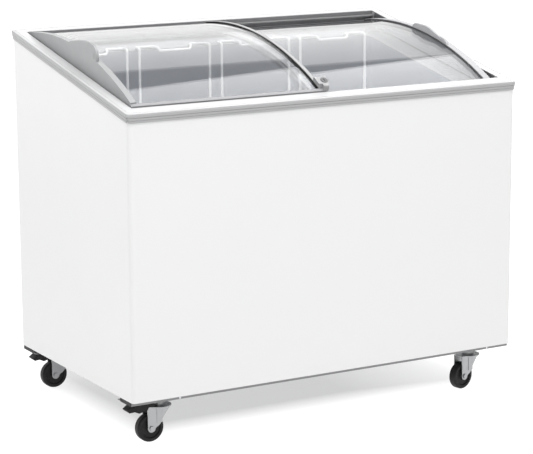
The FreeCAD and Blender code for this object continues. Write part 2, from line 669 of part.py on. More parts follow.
def lid(side):
    """All pieces of one lid. Its outer end has an end panel, and a rim with the handle moulded on. Its inner end
    passes the other lid, and has a rim with a dark bead."""
    left = side == "left"
    x0, x1 = LEFT_LID if left else RIGHT_LID
    drop = 0.0 if left else LID_DROP
    outer_x = x0 if left else x1
    inward = 1 if left else -1
    inner_x = x1 if left else x0
    outer_rim = 15.0 if left else 18.0
    inner_rim = 9.0 if left else 16.0
    bead = 8.0 if left else 2.5
    top = ARC_RADIUS + RIM_HEIGHT

    def span(a, b):
        return (a, b) if a < b else (b, a)
    glass = arc_band(ARC_RADIUS - GLASS, ARC_RADIUS, GLASS_S[0], GLASS_S[1],
                     *span(outer_x + inward * END_PANEL, inner_x), drop)
    bottom = UPPER_SHELF_TOP + GLIDE_GAP - drop
    panel_x = span(outer_x, outer_x + inward * END_PANEL)
    panel = disc(ARC_RADIUS, panel_x[0], panel_x[1], drop)
    panel = panel.common(box((panel_x[0], LID_FRONT, bottom), (panel_x[1], LID_BACK, FAR)))
    glide_x = span(outer_x + inward * END_PANEL, inner_x)
    glides = [glide(LID_FRONT, LID_FRONT + GLIDE_DEPTH, glide_x[0], glide_x[1], drop),
              glide(LID_BACK - GLIDE_DEPTH, LID_BACK, glide_x[0], glide_x[1], drop)]
    rim_s = (LID_FRONT + GLIDE_DEPTH, LID_BACK - GLIDE_DEPTH)
    rim = arc_band(ARC_RADIUS, top, rim_s[0], rim_s[1], *span(outer_x, outer_x + inward * outer_rim), drop)
    inner = arc_band(ARC_RADIUS, top, rim_s[0], rim_s[1], *span(inner_x, inner_x - inward * inner_rim), drop)
    bead_from = inner_x - inward * inner_rim
    beads = [arc_band(ARC_RADIUS, ARC_RADIUS + 2.5, rim_s[0], rim_s[1], *span(bead_from, bead_from - inward * bead), drop)]
    if left:
        beads.append(arc_band(ARC_RADIUS - GLASS - 5, ARC_RADIUS - GLASS, rim_s[0], rim_s[1], -6.0, -3.0, drop))
    else:
        edge = outer_x - outer_rim
        beads.append(arc_band(ARC_RADIUS, ARC_RADIUS + 2.5, rim_s[0], rim_s[1], edge - 2.5, edge, drop))
    if left:
        grip = handle(outer_x, inward, LEFT_CREST, 1, drop)
    else:
        grip = handle(outer_x - outer_rim + FIN_THICK, inward, RIGHT_CREST, -1, drop)
    pieces = {
        "glass": glass,
        "end_panel": panel,
        "glides": Part.makeCompound(glides),
        "outer_rim": rim.fuse(grip),
        "inner_rim": inner,
        "seals": Part.makeCompound(beads),
    }
    return {side + "_lid_" + name: shape for name, shape in pieces.items()}


# ---- lock ----------------------------------------------------------------------------------------------------

def lock_top(s):
    return LOCK_FRONT_TOP + (s - LOCK_S[0]) * math.tan(math.radians(LOCK_TILT_DEG))


def barrel_frame(shape):
    """Stands a shape, drawn about +Z with its face at z = 0, on the lock's sloping top."""
    shape.rotate(Vector(0, 0, 0), Vector(1, 0, 0), LOCK_TILT_DEG)
    shape.translate(Vector(BARREL_AT[0], BARREL_AT[1], lock_top(BARREL_AT[1])))
    return shape


def lock_housing():
    """A wedge-shaped case that hangs over the right lid and laps the left lid's rim."""
    s0, s1 = LOCK_S
    left, right = LOCK_X
    plan = [(left, s0), (LOCK_NOSE_X - 2, s0), (LOCK_NOSE_X, s0 + 2), (right, BARREL_AT[1] - 4), (right, s1 - 3),
            (right - 3, s1), (left, s1)]
    block = Part.Face(wire_of([(x, s, LOCK_FLOOR) for x, s in plan])).extrude(Vector(0, 0, FAR))
    outline = [(s0, LOCK_FLOOR), (s1, LOCK_FLOOR), (s1, lock_top(s1) - 3), (s1 - 3, lock_top(s1 - 3)),
               (s0 + 1.5, lock_top(s0 + 1.5)), (s0, lock_top(s0) - 1.5)]
    case = block.common(side_prism(outline, left, right))
    case = case.cut(disc(ARC_RADIUS + RIM_HEIGHT, -FAR, 0, 0))
    case = case.cut(box((-FAR, 0, -FAR), (0, LID_FRONT + GLIDE_DEPTH, FAR)))
    case = case.cut(barrel_frame(rod(BARREL_RADIUS + 0.05, (0, 0, -BARREL_DEPTH), (0, 0, 20))))
    x, s = BOLT_AT
    case = case.cut(rod(BOLT_RADIUS + 0.05, (x, s, LOCK_FLOOR - 1), (x, s, lock_top(s) - 2.5)))
    for k in range(2):
        low = 6.0 + 4 * k
        case = case.cut(box((1.5, s0 - 1, low), (LOCK_NOSE_X - 3, s0 + 0.6, low + 1)))
    return case


def lock_barrel():
    barrel = rod(BARREL_RADIUS, (0, 0, -BARREL_DEPTH + 0.3), (0, 0, BARREL_PROUD))
    keyway = box((-1, -4.5, BARREL_PROUD - 4), (1, 4.5, BARREL_PROUD + 1))
    return barrel_frame(barrel.cut(keyway))


def lock_bolt():
    x, s = BOLT_AT
    return rod(BOLT_RADIUS, (x, s, BOLT_FOOT), (x, s, lock_top(s) - 3))


# ---- baskets -------------------------------------------------------------------------------------------------

def hanger(y_leg, y_hook, z_hook, z_grip):
    """One bent wire: a leg up from the basket's bottom, a shoulder that hooks on the collar's ledge, a grip in the
    middle, and the same again down the other side."""
    inside = y_leg + math.copysign(3, y_leg)
    half = [(-BASKET_HALF, y_leg, BASKET_BOTTOM), (-BASKET_HALF, y_leg, z_hook), (-BASKET_HALF, y_hook, z_hook),
            (-50, y_hook, z_hook), (-46, inside, z_hook), (-42, y_leg, z_grip)]
    whole = half + [(-x, y, z) for x, y, z in reversed(half)]
    return tube_along(whole, WIRE_BEND, FRAME_WIRE)


def basket():
    """A welded wire basket: two hangers, a bottom and a rim frame, and a thin mesh between them."""
    rear_hook_y = LINER_Y + 7
    front_hook_y = -LINER_Y - 6
    rear_z = slope_point(rear_hook_y + FRAME_WIRE, LEDGE_N)[1] + FRAME_WIRE + 0.6
    front_z = slope_point(-LINER_Y + 8, LEDGE_N)[1] + FRAME_WIRE + 0.6
    wires = [hanger(BASKET_END, rear_hook_y, rear_z, rear_z - 9),
             hanger(-BASKET_END, front_hook_y, front_z, front_z - 9)]
    for z in (BASKET_BOTTOM, BASKET_RIM):
        for x in (-BASKET_HALF, BASKET_HALF):
            wires.append(rod(FRAME_WIRE - 0.35, (x, -BASKET_END, z), (x, BASKET_END, z)))
        for y in (-BASKET_END, BASKET_END):
            wires.append(rod(FRAME_WIRE - 0.55, (-BASKET_HALF, y, z), (BASKET_HALF, y, z)))
    long_wires = 5
    for k in range(long_wires):
        x = -BASKET_HALF + (k + 1) * 2 * BASKET_HALF / (long_wires + 1)
        wires.append(rod(MESH_WIRE, (x, -BASKET_END, BASKET_BOTTOM), (x, BASKET_END, BASKET_BOTTOM)))
        for y in (-BASKET_END, BASKET_END):
            wires.append(rod(MESH_WIRE, (x, y, BASKET_BOTTOM), (x, y, BASKET_RIM)))
    cross_wires = 8
    for k in range(cross_wires):
        y = -BASKET_END + (k + 1) * 2 * BASKET_END / (cross_wires + 1)
        level = BASKET_BOTTOM - 2 * MESH_WIRE + 0.4
        wires.append(rod(MESH_WIRE, (-BASKET_HALF, y, level), (BASKET_HALF, y, level)))
        for x in (-BASKET_HALF, BASKET_HALF):
            wires.append(rod(MESH_WIRE, (x, y, level), (x, y, BASKET_RIM)))
    side = BASKET_HALF - FRAME_WIRE - 0.75
    end = BASKET_END - FRAME_WIRE - 0.75
    floor = BASKET_BOTTOM + FRAME_WIRE + 0.75
    rim = BASKET_RIM + 10
    return split(wires[0].multiFuse(wires[1:]), [
        ((-FAR, -FAR, 0), (FAR, FAR, floor)),
        ((-FAR, -FAR, rim), (FAR, 0, FAR)),
        ((-FAR, 0, rim), (FAR, FAR, FAR)),
        ((-FAR, -FAR, 0), (FAR, -end, FAR)),
        ((-FAR, end, 0), (FAR, FAR, FAR)),
        ((-FAR, -FAR, 0), (-side, FAR, FAR)),
    ])


# ---- base and castors ----------------------------------------------------------------------------------------

def base_rails():
    """Two flat tubes across the bottom, each with a flange inwards for the castors' inner bolts."""
    rails = []
    for place, y0 in RAIL_Y.items():
        y1 = y0 + RAIL_DEPTH
        outer = box((-RAIL_HALF, y0, RAIL_BOTTOM), (RAIL_HALF, y1, BODY_BOTTOM))
        inner = box((-RAIL_HALF - 1, y0 + RAIL_WALL, RAIL_BOTTOM + RAIL_WALL),
                    (RAIL_HALF + 1, y1 - RAIL_WALL, BODY_BOTTOM - RAIL_WALL))
        reach = (y1, y1 + RAIL_FLANGE) if place == "front" else (y0 - RAIL_FLANGE, y0)
        flange = box((-RAIL_HALF, reach[0], RAIL_BOTTOM), (RAIL_HALF, reach[1], RAIL_BOTTOM + RAIL_WALL))
        rails.append(outer.cut(inner).fuse(flange).removeSplitter())
    return Part.makeCompound(rails)


def rail_plugs():
    """Black plugs in the four open ends of the rails, each with a thin cap outside."""
    plugs = []
    for y0 in RAIL_Y.values():
        for side in (-1, 1):
            inside = sorted((side * RAIL_HALF, side * (RAIL_HALF - PLUG)))
            outside = sorted((side * RAIL_HALF, side * (RAIL_HALF + PLUG_CAP)))
            plug = box((inside[0], y0 + RAIL_WALL, RAIL_BOTTOM + RAIL_WALL),
                       (inside[1], y0 + RAIL_DEPTH - RAIL_WALL, BODY_BOTTOM - RAIL_WALL))
            cap = box((outside[0], y0, RAIL_BOTTOM), (outside[1], y0 + RAIL_DEPTH, BODY_BOTTOM))
            plugs.append(plug.fuse(cap))
    return Part.makeCompound(plugs)


def place_castor(shape, x, y, heading):
    shape.rotate(Vector(0, 0, 0), Vector(0, 0, 1), heading)
    shape.translate(Vector(x, y, 0))
    return shape


def castor_plate():
    """A square plate with its upper race and the king pin, riveted over under the fork's crown."""
    bottom = CASTOR_HEIGHT - PLATE_THICK
    plate = rounded_prism(-PLATE_HALF, -PLATE_HALF, PLATE_HALF, PLATE_HALF, 7, bottom, CASTOR_HEIGHT)
    for x in (-PLATE_BOLT, PLATE_BOLT):
        for y in (-PLATE_BOLT, PLATE_BOLT):
            plate = plate.cut(rod(3.2, (x, y, 0), (x, y, FAR)))
    race = rod(18, (0, 0, BEARING_SPLIT + 3), (0, 0, bottom))
    race = race.fuse(rod(14, (0, 0, BEARING_SPLIT + 0.3), (0, 0, bottom)))
    pin = rod(5, (0, 0, CROWN_TOP - FORK_SHEET - 1), (0, 0, bottom))
    head = rod(8.5, (0, 0, CROWN_TOP - FORK_SHEET - 3.3), (0, 0, CROWN_TOP - FORK_SHEET - 0.3))
    return plate.fuse(race).fuse(pin).fuse(head)


def castor_bolts(places):
    """Hexagon heads under each corner of the four plates."""
    heads = []
    bottom = CASTOR_HEIGHT - PLATE_THICK
    for px, py in places:
        for x in (-PLATE_BOLT, PLATE_BOLT):
            for y in (-PLATE_BOLT, PLATE_BOLT):
                corners = [(5.2 * math.cos(math.radians(60 * k)) + x + px,
                            5.2 * math.sin(math.radians(60 * k)) + y + py, bottom) for k in range(6)]
                head = Part.Face(wire_of(corners)).extrude(Vector(0, 0, -3.5))
                shank = rod(3.0, (x + px, y + py, bottom), (x + px, y + py, CASTOR_HEIGHT))
                heads.append(head.fuse(shank))
    return Part.makeCompound(heads)


def castor_fork(braked):
    """Pressed steel: a round crown under the race, a cover over the wheel, and two tapering legs with an embossed
    rib. A braked one has a lip at its far end and two ears for the pedal's pin."""
    bottom = CROWN_TOP - FORK_SHEET
    eye = 9.7
    far_edge = -TRAIL - eye
    cover_end = -52 if braked else far_edge
    crown = box((cover_end, -FORK_HALF, bottom), (6, FORK_HALF, CROWN_TOP))
    crown = crown.fuse(rod(CROWN_RADIUS, (0, 0, bottom), (0, 0, CROWN_TOP)))
    crown = crown.fuse(rod(14, (0, 0, bottom), (0, 0, BEARING_SPLIT)))
    edges = [
        Part.makeLine(Vector(far_edge, 0, bottom), Vector(far_edge, 0, WHEEL_RADIUS)),
        Part.Arc(Vector(far_edge, 0, WHEEL_RADIUS), Vector(-TRAIL, 0, WHEEL_RADIUS - eye),
                 Vector(-TRAIL + eye, 0, WHEEL_RADIUS - 1)).toShape(),
        Part.makeLine(Vector(-TRAIL + eye, 0, WHEEL_RADIUS - 1), Vector(-12.4, 0, 35)),
        Part.Arc(Vector(-12.4, 0, 35), Vector(-4.5, 0, 40), Vector(1.5, 0, 51)).toShape(),
        Part.Arc(Vector(1.5, 0, 51), Vector(13, 0, 67.5), Vector(25, 0, bottom)).toShape(),
        Part.makeLine(Vector(25, 0, bottom), Vector(far_edge, 0, bottom)),
    ]
    leg = Part.Face(Part.Wire(edges)).extrude(Vector(0, FORK_SHEET, 0))
    rib = box((-12, 0, 45), (2, 1.2, bottom))
    for y, outside in ((-FORK_HALF, -1.2), (FORK_HALF - FORK_SHEET, FORK_SHEET)):
        side = leg.copy()
        side.translate(Vector(0, y, 0))
        raised = rib.copy()
        raised.translate(Vector(0, y + outside, 0))
        crown = crown.fuse(side).fuse(raised)
    for y in (-9, 9):
        crown = crown.cut(rod(2.5, (20, y, 0), (20, y, FAR)))
    if braked:
        lip = Part.Face(wire_of([(-52, -FORK_HALF, CROWN_TOP), (-52, -FORK_HALF, bottom), (-57, -FORK_HALF, bottom - 9),
                                 (-59, -FORK_HALF, bottom - 8), (-54, -FORK_HALF, CROWN_TOP)]))
        crown = crown.fuse(lip.extrude(Vector(0, 2 * FORK_HALF, 0)))
        px, pz = PEDAL_PIVOT
        for y in (-FORK_HALF, FORK_HALF - 2):
            crown = crown.fuse(box((px - 4, y, bottom), (px + 4, y + 2, pz + 3)))
        crown = crown.cut(rod(PEDAL_PIN + RUNNING_FIT, (px, -30, pz), (px, 30, pz)))
    crown = crown.cut(rod(5 + RUNNING_FIT, (0, 0, 0), (0, 0, FAR)))
    return crown.cut(rod(AXLE_RADIUS, (-TRAIL, -30, WHEEL_RADIUS), (-TRAIL, 30, WHEEL_RADIUS)))


def castor_axle():
    """A bolt across the legs with a hexagon head and a nut."""
    shank = rod(AXLE_RADIUS, (-TRAIL, -FORK_HALF, WHEEL_RADIUS), (-TRAIL, FORK_HALF, WHEEL_RADIUS))
    for y, length in ((-FORK_HALF, -2.6), (FORK_HALF, 3.6)):
        corners = [(-TRAIL + 6 * math.cos(math.radians(60 * k)), y, WHEEL_RADIUS + 6 * math.sin(math.radians(60 * k)))
                   for k in range(6)]
        shank = shank.fuse(Part.Face(wire_of(corners)).extrude(Vector(0, length, 0)))
    return shank


def castor_wheel():
    """A round-shouldered tread on a dished web, with a hub bored for the axle."""
    half = WHEEL_WIDTH / 2
    r = WHEEL_RADIUS
    bore = AXLE_RADIUS + RUNNING_FIT
    tread = [Part.makeLine(Vector(bore, 0, -half - 1), Vector(bore, 0, half + 1)),
             Part.makeLine(Vector(bore, 0, half + 1), Vector(9, 0, half + 1)),
             Part.makeLine(Vector(9, 0, half + 1), Vector(11, 0, half - 3)),
             Part.makeLine(Vector(11, 0, half - 3), Vector(r - 10, 0, half - 3)),
             Part.makeLine(Vector(r - 10, 0, half - 3), Vector(r - 8.5, 0, half)),
             Part.makeLine(Vector(r - 8.5, 0, half), Vector(r - 4, 0, half)),
             Part.Arc(Vector(r - 4, 0, half), Vector(r - 1, 0, half - 1.6), Vector(r, 0, half - 5)).toShape(),
             Part.makeLine(Vector(r, 0, half - 5), Vector(r, 0, -half + 5)),
             Part.Arc(Vector(r, 0, -half + 5), Vector(r - 1, 0, -half + 1.6), Vector(r - 4, 0, -half)).toShape(),
             Part.makeLine(Vector(r - 4, 0, -half), Vector(r - 8.5, 0, -half)),
             Part.makeLine(Vector(r - 8.5, 0, -half), Vector(r - 10, 0, -half + 3)),
             Part.makeLine(Vector(r - 10, 0, -half + 3), Vector(11, 0, -half + 3)),
             Part.makeLine(Vector(11, 0, -half + 3), Vector(9, 0, -half - 1)),
             Part.makeLine(Vector(9, 0, -half - 1), Vector(bore, 0, -half - 1))]
    wheel = Part.Face(Part.Wire(tread)).revolve(Vector(0, 0, 0), Vector(0, 0, 1), 360)
    wheel.rotate(Vector(0, 0, 0), Vector(1, 0, 0), 90)
    wheel.translate(Vector(-TRAIL, 0, WHEEL_RADIUS))
    return wheel


def brake_pedal():
    """A black foot pedal that caps the crown's far end, on a pin across its two cheeks."""
    outline = [(-86, 82), (-64, 93.5), (-30, 93.5), (-16, 91), (-15, 84.9), (-34, 84.9), (-37, 79), (-58, 74),
               (-69, 78.5), (-80, 76.5)]
    pedal = Part.Face(wire_of([(x, -19, z) for x, z in outline])).extrude(Vector(0, 38, 0))
    hollow = [(-62, 70), (-62, 91.5), (-30, 91.5), (-10, 89.5), (-10, 70)]
    inside = Part.Face(wire_of([(x, -15, z) for x, z in hollow])).extrude(Vector(0, 30, 0))
    pedal = pedal.cut(inside)
    taper = 9.0
    for side in (-1, 1):
        corners = [(-90, side * 19.5, 60), (-90, side * (19.5 - taper), 60), (-62, side * 19.5, 60)]
        pedal = pedal.cut(Part.Face(wire_of(corners)).extrude(Vector(0, 0, 60)))
    px, pz = PEDAL_PIVOT
    return pedal.fuse(rod(PEDAL_PIN, (px, -19, pz), (px, 19, pz)))


# ---- write every piece ---------------------------------------------------------------------------------------

os.makedirs("parts", exist_ok=True)

for bar_name, bar in frame_bars().items():
    save(bar_name, bar)

save("lid_tracks", Part.makeCompound([track(OPENING_S[0], 1), track(OPENING_S[1], -1)]))
save("side_trims", side_trims())
save("liner_collar", collar())
save("cabinet_wrap", cabinet_wrap())
save("back_panel", back_panel())
save("bottom_panel", bottom_panel())
save("inner_liner", inner_liner())

evaporator_tube = evaporator()
condenser_tube = condenser()
save("evaporator_tube", evaporator_tube)
save("condenser_tube", condenser_tube)
save("insulation", insulation([evaporator_tube, condenser_tube]))

save("compressor", compressor())
save("compressor_grommets", compressor_grommets())
save("relay_box", relay_box())
save("pipework", pipework())
save("rear_grille", rear_grille())
save("thermostat", thermostat())
save("thermostat_knob", thermostat_knob())
save("cable_gland", cable_gland())
save("panel_screws", panel_screws())

for lid_side in ("left", "right"):
    for piece_name, piece in lid(lid_side).items():
        save(piece_name, tilt(piece))

save("lock_housing", tilt(lock_housing()))
save("lock_barrel", tilt(lock_barrel()))
save("lock_bolt", tilt(lock_bolt()))

wire_basket = basket()
for number in range(4):
    hung = wire_basket.copy()
    hung.translate(Vector(BASKET_SHIFT + (number - 1.5) * BASKET_PITCH, 0, 0))
    save("basket_%d" % (number + 1), hung)

save("base_rails", base_rails())
save("rail_plugs", rail_plugs())

swivels = [(x, y) for x, y, heading, braked in CASTORS.values()]
save("castor_plates", Part.makeCompound([place_castor(castor_plate(), x, y, 0) for x, y in swivels]))
save("castor_bolts", castor_bolts(swivels))
for corner, (x, y, heading, braked) in CASTORS.items():
    save("fork_" + corner, place_castor(castor_fork(braked), x, y, heading))
    save("axle_" + corner, place_castor(castor_axle(), x, y, heading))
    save("wheel_" + corner, place_castor(castor_wheel(), x, y, heading))
    if braked:
        save("pedal_" + corner, place_castor(brake_pedal(), x, y, heading))
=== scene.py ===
"""The looks of a chest freezer with curved sliding glass lids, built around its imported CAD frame.

Metres, +X along the front to the right, +Y from the front to the back, +Z up, the origin on the floor under
the freezer's middle. Every visible piece is a node of the frame, so this script only gives them their
materials and adds the camera, the lamps and the floor.
"""

import math

import bpy
from mathutils import Matrix, Vector

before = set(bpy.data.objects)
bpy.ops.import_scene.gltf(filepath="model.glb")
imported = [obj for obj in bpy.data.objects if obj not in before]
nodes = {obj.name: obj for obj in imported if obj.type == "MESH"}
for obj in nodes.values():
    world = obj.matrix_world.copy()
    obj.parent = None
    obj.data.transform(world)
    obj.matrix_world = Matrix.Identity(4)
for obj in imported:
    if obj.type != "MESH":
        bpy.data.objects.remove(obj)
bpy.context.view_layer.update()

MM = 0.001
LIDS = ("left", "right")
CORNERS = ("front_left", "rear_left", "front_right", "rear_right")
BASKETS = 4

# ---- camera ------------------------------------------------------------------------------------------------

CAMERA_PLACE = Vector((-2.459, -4.2827, 1.4045))
CAMERA_YAW = math.radians(29.914)
CAMERA_DOWN = math.radians(11.457)
CAMERA_ROLL = math.radians(-0.333)
LENS_MM = 138.9
SENSOR_MM = 36.0
CAMERA_REACH = 50.0


def make_camera():
    data = bpy.data.cameras.new("camera")
    data.lens = LENS_MM
    data.sensor_width = SENSOR_MM
    data.clip_end = CAMERA_REACH
    camera = bpy.data.objects.new("camera", data)
    turn = Matrix.Rotation(-CAMERA_YAW, 4, "Z") @ Matrix.Rotation(math.pi / 2 - CAMERA_DOWN, 4, "X")
    turn = turn @ Matrix.Rotation(CAMERA_ROLL, 4, "Z")
    camera.matrix_world = Matrix.Translation(CAMERA_PLACE) @ turn
    bpy.context.collection.objects.link(camera)
    bpy.context.scene.camera = camera


# ---- light and floor ---------------------------------------------------------------------------------------

WORLD_GLOW = 0.35

# The curved glass mirrors "overhead" and "behind". The dim gap between the two shows as a dark wedge in it.
LAMPS = {
    "overhead": {"place": (1.176, 0.044, 3.6), "tilt": 0.0, "turn": 24.7, "size": (5.8, 2.6), "glow": 2.0},
    "overhead_front": {"place": (-0.6, -1.4, 3.5), "tilt": 0.0, "turn": 0.0, "size": (4.6, 2.6), "glow": 3.2},
    "behind": {"place": (0.0, 4.5, 3.0), "tilt": 90.0, "turn": 180.0, "size": (14.0, 6.0), "glow": 0.85},
    "front_left": {"place": (-2.4, -5.0, 1.0), "tilt": 90.0, "turn": -25.6, "size": (4.0, 2.0), "glow": 0.2},
}

FLOOR_REACH = 30.0
FLOOR_COLOR = (0.3, 0.3, 0.3)
FLOOR_ROUGHNESS = 0.8
# the table's glow: in the painted shadow under the freezer, and in the open
GLOW_IN_PAINTED_SHADOW_AND_OPEN = (0.51, 1.0)
# opposite corners of the deepest painted shadow, the distance round it over which the glow comes back, and
# the X's between which the painted shadow thins out towards the right
PAINTED_SHADOW_FRONT_LEFT = Vector((-0.385, -0.14, 0.0))
PAINTED_SHADOW_REAR_RIGHT = Vector((0.8, 0.40, 0.0))
PAINTED_SHADOW_FADE = 0.10
PAINTED_SHADOW_THINS = (0.15, 0.8)


def make_world():
    """A dim even studio all round."""
    world = bpy.data.worlds.new("studio")
    world.use_nodes = True
    background = world.node_tree.nodes["Background"]
    background.inputs["Color"].default_value = (1.0, 1.0, 1.0, 1.0)
    background.inputs["Strength"].default_value = WORLD_GLOW
    bpy.context.scene.world = world


def soft_box(name, place, tilt, turn, size, glow):
    """A rectangular lamp that shines down, tilted up towards +Y and then turned about Z, both in degrees.
    glow is its radiance."""
    data = bpy.data.lights.new(name, "AREA")
    data.shape = "RECTANGLE"
    data.size, data.size_y = size
    data.energy = glow * math.pi * size[0] * size[1]
    lamp = bpy.data.objects.new(name, data)
    way = Matrix.Rotation(math.radians(turn), 4, "Z") @ Matrix.Rotation(math.radians(tilt), 4, "X")
    lamp.matrix_world = Matrix.Translation(place) @ way
    bpy.context.collection.objects.link(lamp)


def make_lamps():
    """Two soft boxes overhead, a tall one behind and a faint one at the front left."""
    for name, lamp in LAMPS.items():
        soft_box(name, **lamp)


def floor_painted_shadow():
    """A pale table lit from below, with a painted shadow: it glows less under the freezer, least at its left.
    """
    n = Nodes("floor_painted_shadow")
    middle = (PAINTED_SHADOW_FRONT_LEFT + PAINTED_SHADOW_REAR_RIGHT) / 2
    half = (PAINTED_SHADOW_REAR_RIGHT - PAINTED_SHADOW_FRONT_LEFT) / 2
    place = n.vector("ABSOLUTE", n.vector("SUBTRACT", n.place, middle))
    outside = n.vector("MAXIMUM", n.vector("SUBTRACT", place, half), (0.0, 0.0, 0.0))
    # painted shadow: the glow drops in a box under the freezer and comes back round it
    painted_shadow_edge = n.spread(n.vector("LENGTH", outside), 0.0, PAINTED_SHADOW_FADE, *GLOW_IN_PAINTED_SHADOW_AND_OPEN)
    painted_shadow_thinned = n.spread(n.along("X"), *PAINTED_SHADOW_THINS, *GLOW_IN_PAINTED_SHADOW_AND_OPEN)
    shader = n.add("ShaderNodeBsdfPrincipled")
    n.put(shader.inputs["Base Color"], FLOOR_COLOR)
    n.put(shader.inputs["Roughness"], FLOOR_ROUGHNESS)
    n.put(shader.inputs["Emission Color"], (1.0, 1.0, 1.0))
    n.put(shader.inputs["Emission Strength"], n.number("MAXIMUM", painted_shadow_edge, painted_shadow_thinned))
    return n.shown(shader)


def make_floor():
    mesh = bpy.data.meshes.new("floor")
    corners = [(-FLOOR_REACH, -FLOOR_REACH, 0), (FLOOR_REACH, -FLOOR_REACH, 0),
               (FLOOR_REACH, FLOOR_REACH, 0), (-FLOOR_REACH, FLOOR_REACH, 0)]
    mesh.from_pydata(corners, [], [(0, 1, 2, 3)])
    floor = bpy.data.objects.new("floor", mesh)
    bpy.context.collection.objects.link(floor)
    mesh.materials.append(floor_painted_shadow())


# ---- material building -------------------------------------------------------------------------------------

# what a noise mostly stays between
NOISE_LOW = 0.3
NOISE_HIGH = 0.7
BEVEL_SAMPLES = 4


class Nodes:
    """Short names for building one material's node tree."""

    def __init__(self, name):
        self.material = bpy.data.materials.new(name)
        self.material.use_nodes = True
        self.tree = self.material.node_tree
        self.tree.nodes.clear()
        self.out = self.add("ShaderNodeOutputMaterial")
        where = self.add("ShaderNodeTexCoord")
        self.place = where.outputs["Object"]
        self.facing = where.outputs["Normal"]

    def add(self, kind, **settings):
        """A new node of this kind with these settings."""
        node = self.tree.nodes.new(kind)
        for key, value in settings.items():
            setattr(node, key, value)
        return node

    def put(self, socket, value):
        """Feeds a socket with another socket or with a plain value."""
        if isinstance(value, bpy.types.NodeSocket):
            self.tree.links.new(value, socket)
        elif isinstance(value, tuple) and len(value) == 3 and socket.type == "RGBA":
            socket.default_value = value + (1.0,)
        else:
            socket.default_value = value

    def noise(self, scale, detail=3.0, rough=0.5, stretch=None):
        """Cloudy noise from 0 to 1. stretch multiplies the place, so a small factor draws the noise out."""
        node = self.add("ShaderNodeTexNoise")
        place = self.place
        if stretch:
            place = self.vector("MULTIPLY", place, stretch)
        self.put(node.inputs["Vector"], place)
        node.inputs["Scale"].default_value = scale
        node.inputs["Detail"].default_value = detail
        node.inputs["Roughness"].default_value = rough
        return node.outputs["Fac"]

    def cells(self, scale, feature="F1"):
        """The distance to the nearest of many scattered points."""
        node = self.add("ShaderNodeTexVoronoi", feature=feature)
        self.put(node.inputs["Vector"], self.place)
        node.inputs["Scale"].default_value = scale
        return node.outputs["Distance"]

    def vector(self, operation, vector, by=None):
        """One step of vector arithmetic."""
        node = self.add("ShaderNodeVectorMath", operation=operation)
        self.put(node.inputs[0], vector)
        if by is not None:
            node.inputs[1].default_value = by
        return node.outputs["Value" if operation == "LENGTH" else "Vector"]

    def number(self, operation, *values):
        """One step of arithmetic."""
        node = self.add("ShaderNodeMath", operation=operation)
        for socket, value in zip(node.inputs, values):
            self.put(socket, value)
        return node.outputs[0]

    def spread(self, value, low, high, to_low, to_high):
        """Carries a value from the range low to high over to another range, held at its ends."""
        node = self.add("ShaderNodeMapRange")
        self.put(node.inputs["Value"], value)
        for key, number in zip(("From Min", "From Max", "To Min", "To Max"), (low, high, to_low, to_high)):
            node.inputs[key].default_value = number
        return node.outputs["Result"]

    def uneven(self, grain, low, high):
        """A value that wanders between low and high with a noise."""
        return self.spread(grain, NOISE_LOW, NOISE_HIGH, low, high)

    def blend(self, share, first, second):
        """The colour that goes from first to second as share goes from 0 to 1."""
        node = self.add("ShaderNodeMix", data_type="RGBA")
        self.put(node.inputs["Factor"], share)
        self.put(node.inputs["A"], first)
        self.put(node.inputs["B"], second)
        return node.outputs["Result"]

    def bump(self, height, depth, strength, under=None):
        """A normal with this relief, depth deep, laid over another normal."""
        node = self.add("ShaderNodeBump")
        self.put(node.inputs["Height"], height)
        node.inputs["Distance"].default_value = depth
        node.inputs["Strength"].default_value = strength
        if under is not None:
            self.put(node.inputs["Normal"], under)
        return node.outputs["Normal"]

    def soft_edges(self, radius):
        """A normal that rounds the edges off."""
        node = self.add("ShaderNodeBevel", samples=BEVEL_SAMPLES)
        node.inputs["Radius"].default_value = radius
        return node.outputs["Normal"]

    def part_of(self, vector, axis):
        """A vector's X, Y or Z."""
        node = self.add("ShaderNodeSeparateXYZ")
        self.put(node.inputs[0], vector)
        return node.outputs[axis]

    def along(self, axis):
        """How far along an axis the place lies."""
        return self.part_of(self.place, axis)

    def shown(self, shader):
        """The material with this shader."""
        self.tree.links.new(shader.outputs[0], self.out.inputs["Surface"])
        return self.material

    def mixed(self, share, first, second):
        """The material that goes from the first shader to the second as share goes from 0 to 1."""
        mix = self.add("ShaderNodeMixShader")
        self.put(mix.inputs[0], share)
        self.tree.links.new(first.outputs[0], mix.inputs[1])
        self.tree.links.new(second.outputs[0], mix.inputs[2])
        return self.shown(mix)

    def surface(self, color, roughness, metallic=0.0, normal=None, **extra):
        """The material of a plain solid surface."""
        shader = self.add("ShaderNodeBsdfPrincipled")
        self.put(shader.inputs["Base Color"], color)
        self.put(shader.inputs["Roughness"], roughness)
        shader.inputs["Metallic"].default_value = metallic
        for key, value in extra.items():
            shader.inputs[key.replace("_", " ")].default_value = value
        if normal is not None:
            self.put(shader.inputs["Normal"], normal)
        return self.shown(shader)


def shade(color, factor):
    return tuple(channel * factor for channel in color)


# ---- materials ---------------------------------------------------------------------------------------------

# All colours are linear.
SHEET_WHITE = (0.75, 0.75, 0.75)
SHEET_DUST = (0.62, 0.60, 0.57)
COMPRESSOR_BLACK = (0.012, 0.012, 0.013)
RAIL_GREY = (0.22, 0.22, 0.225)
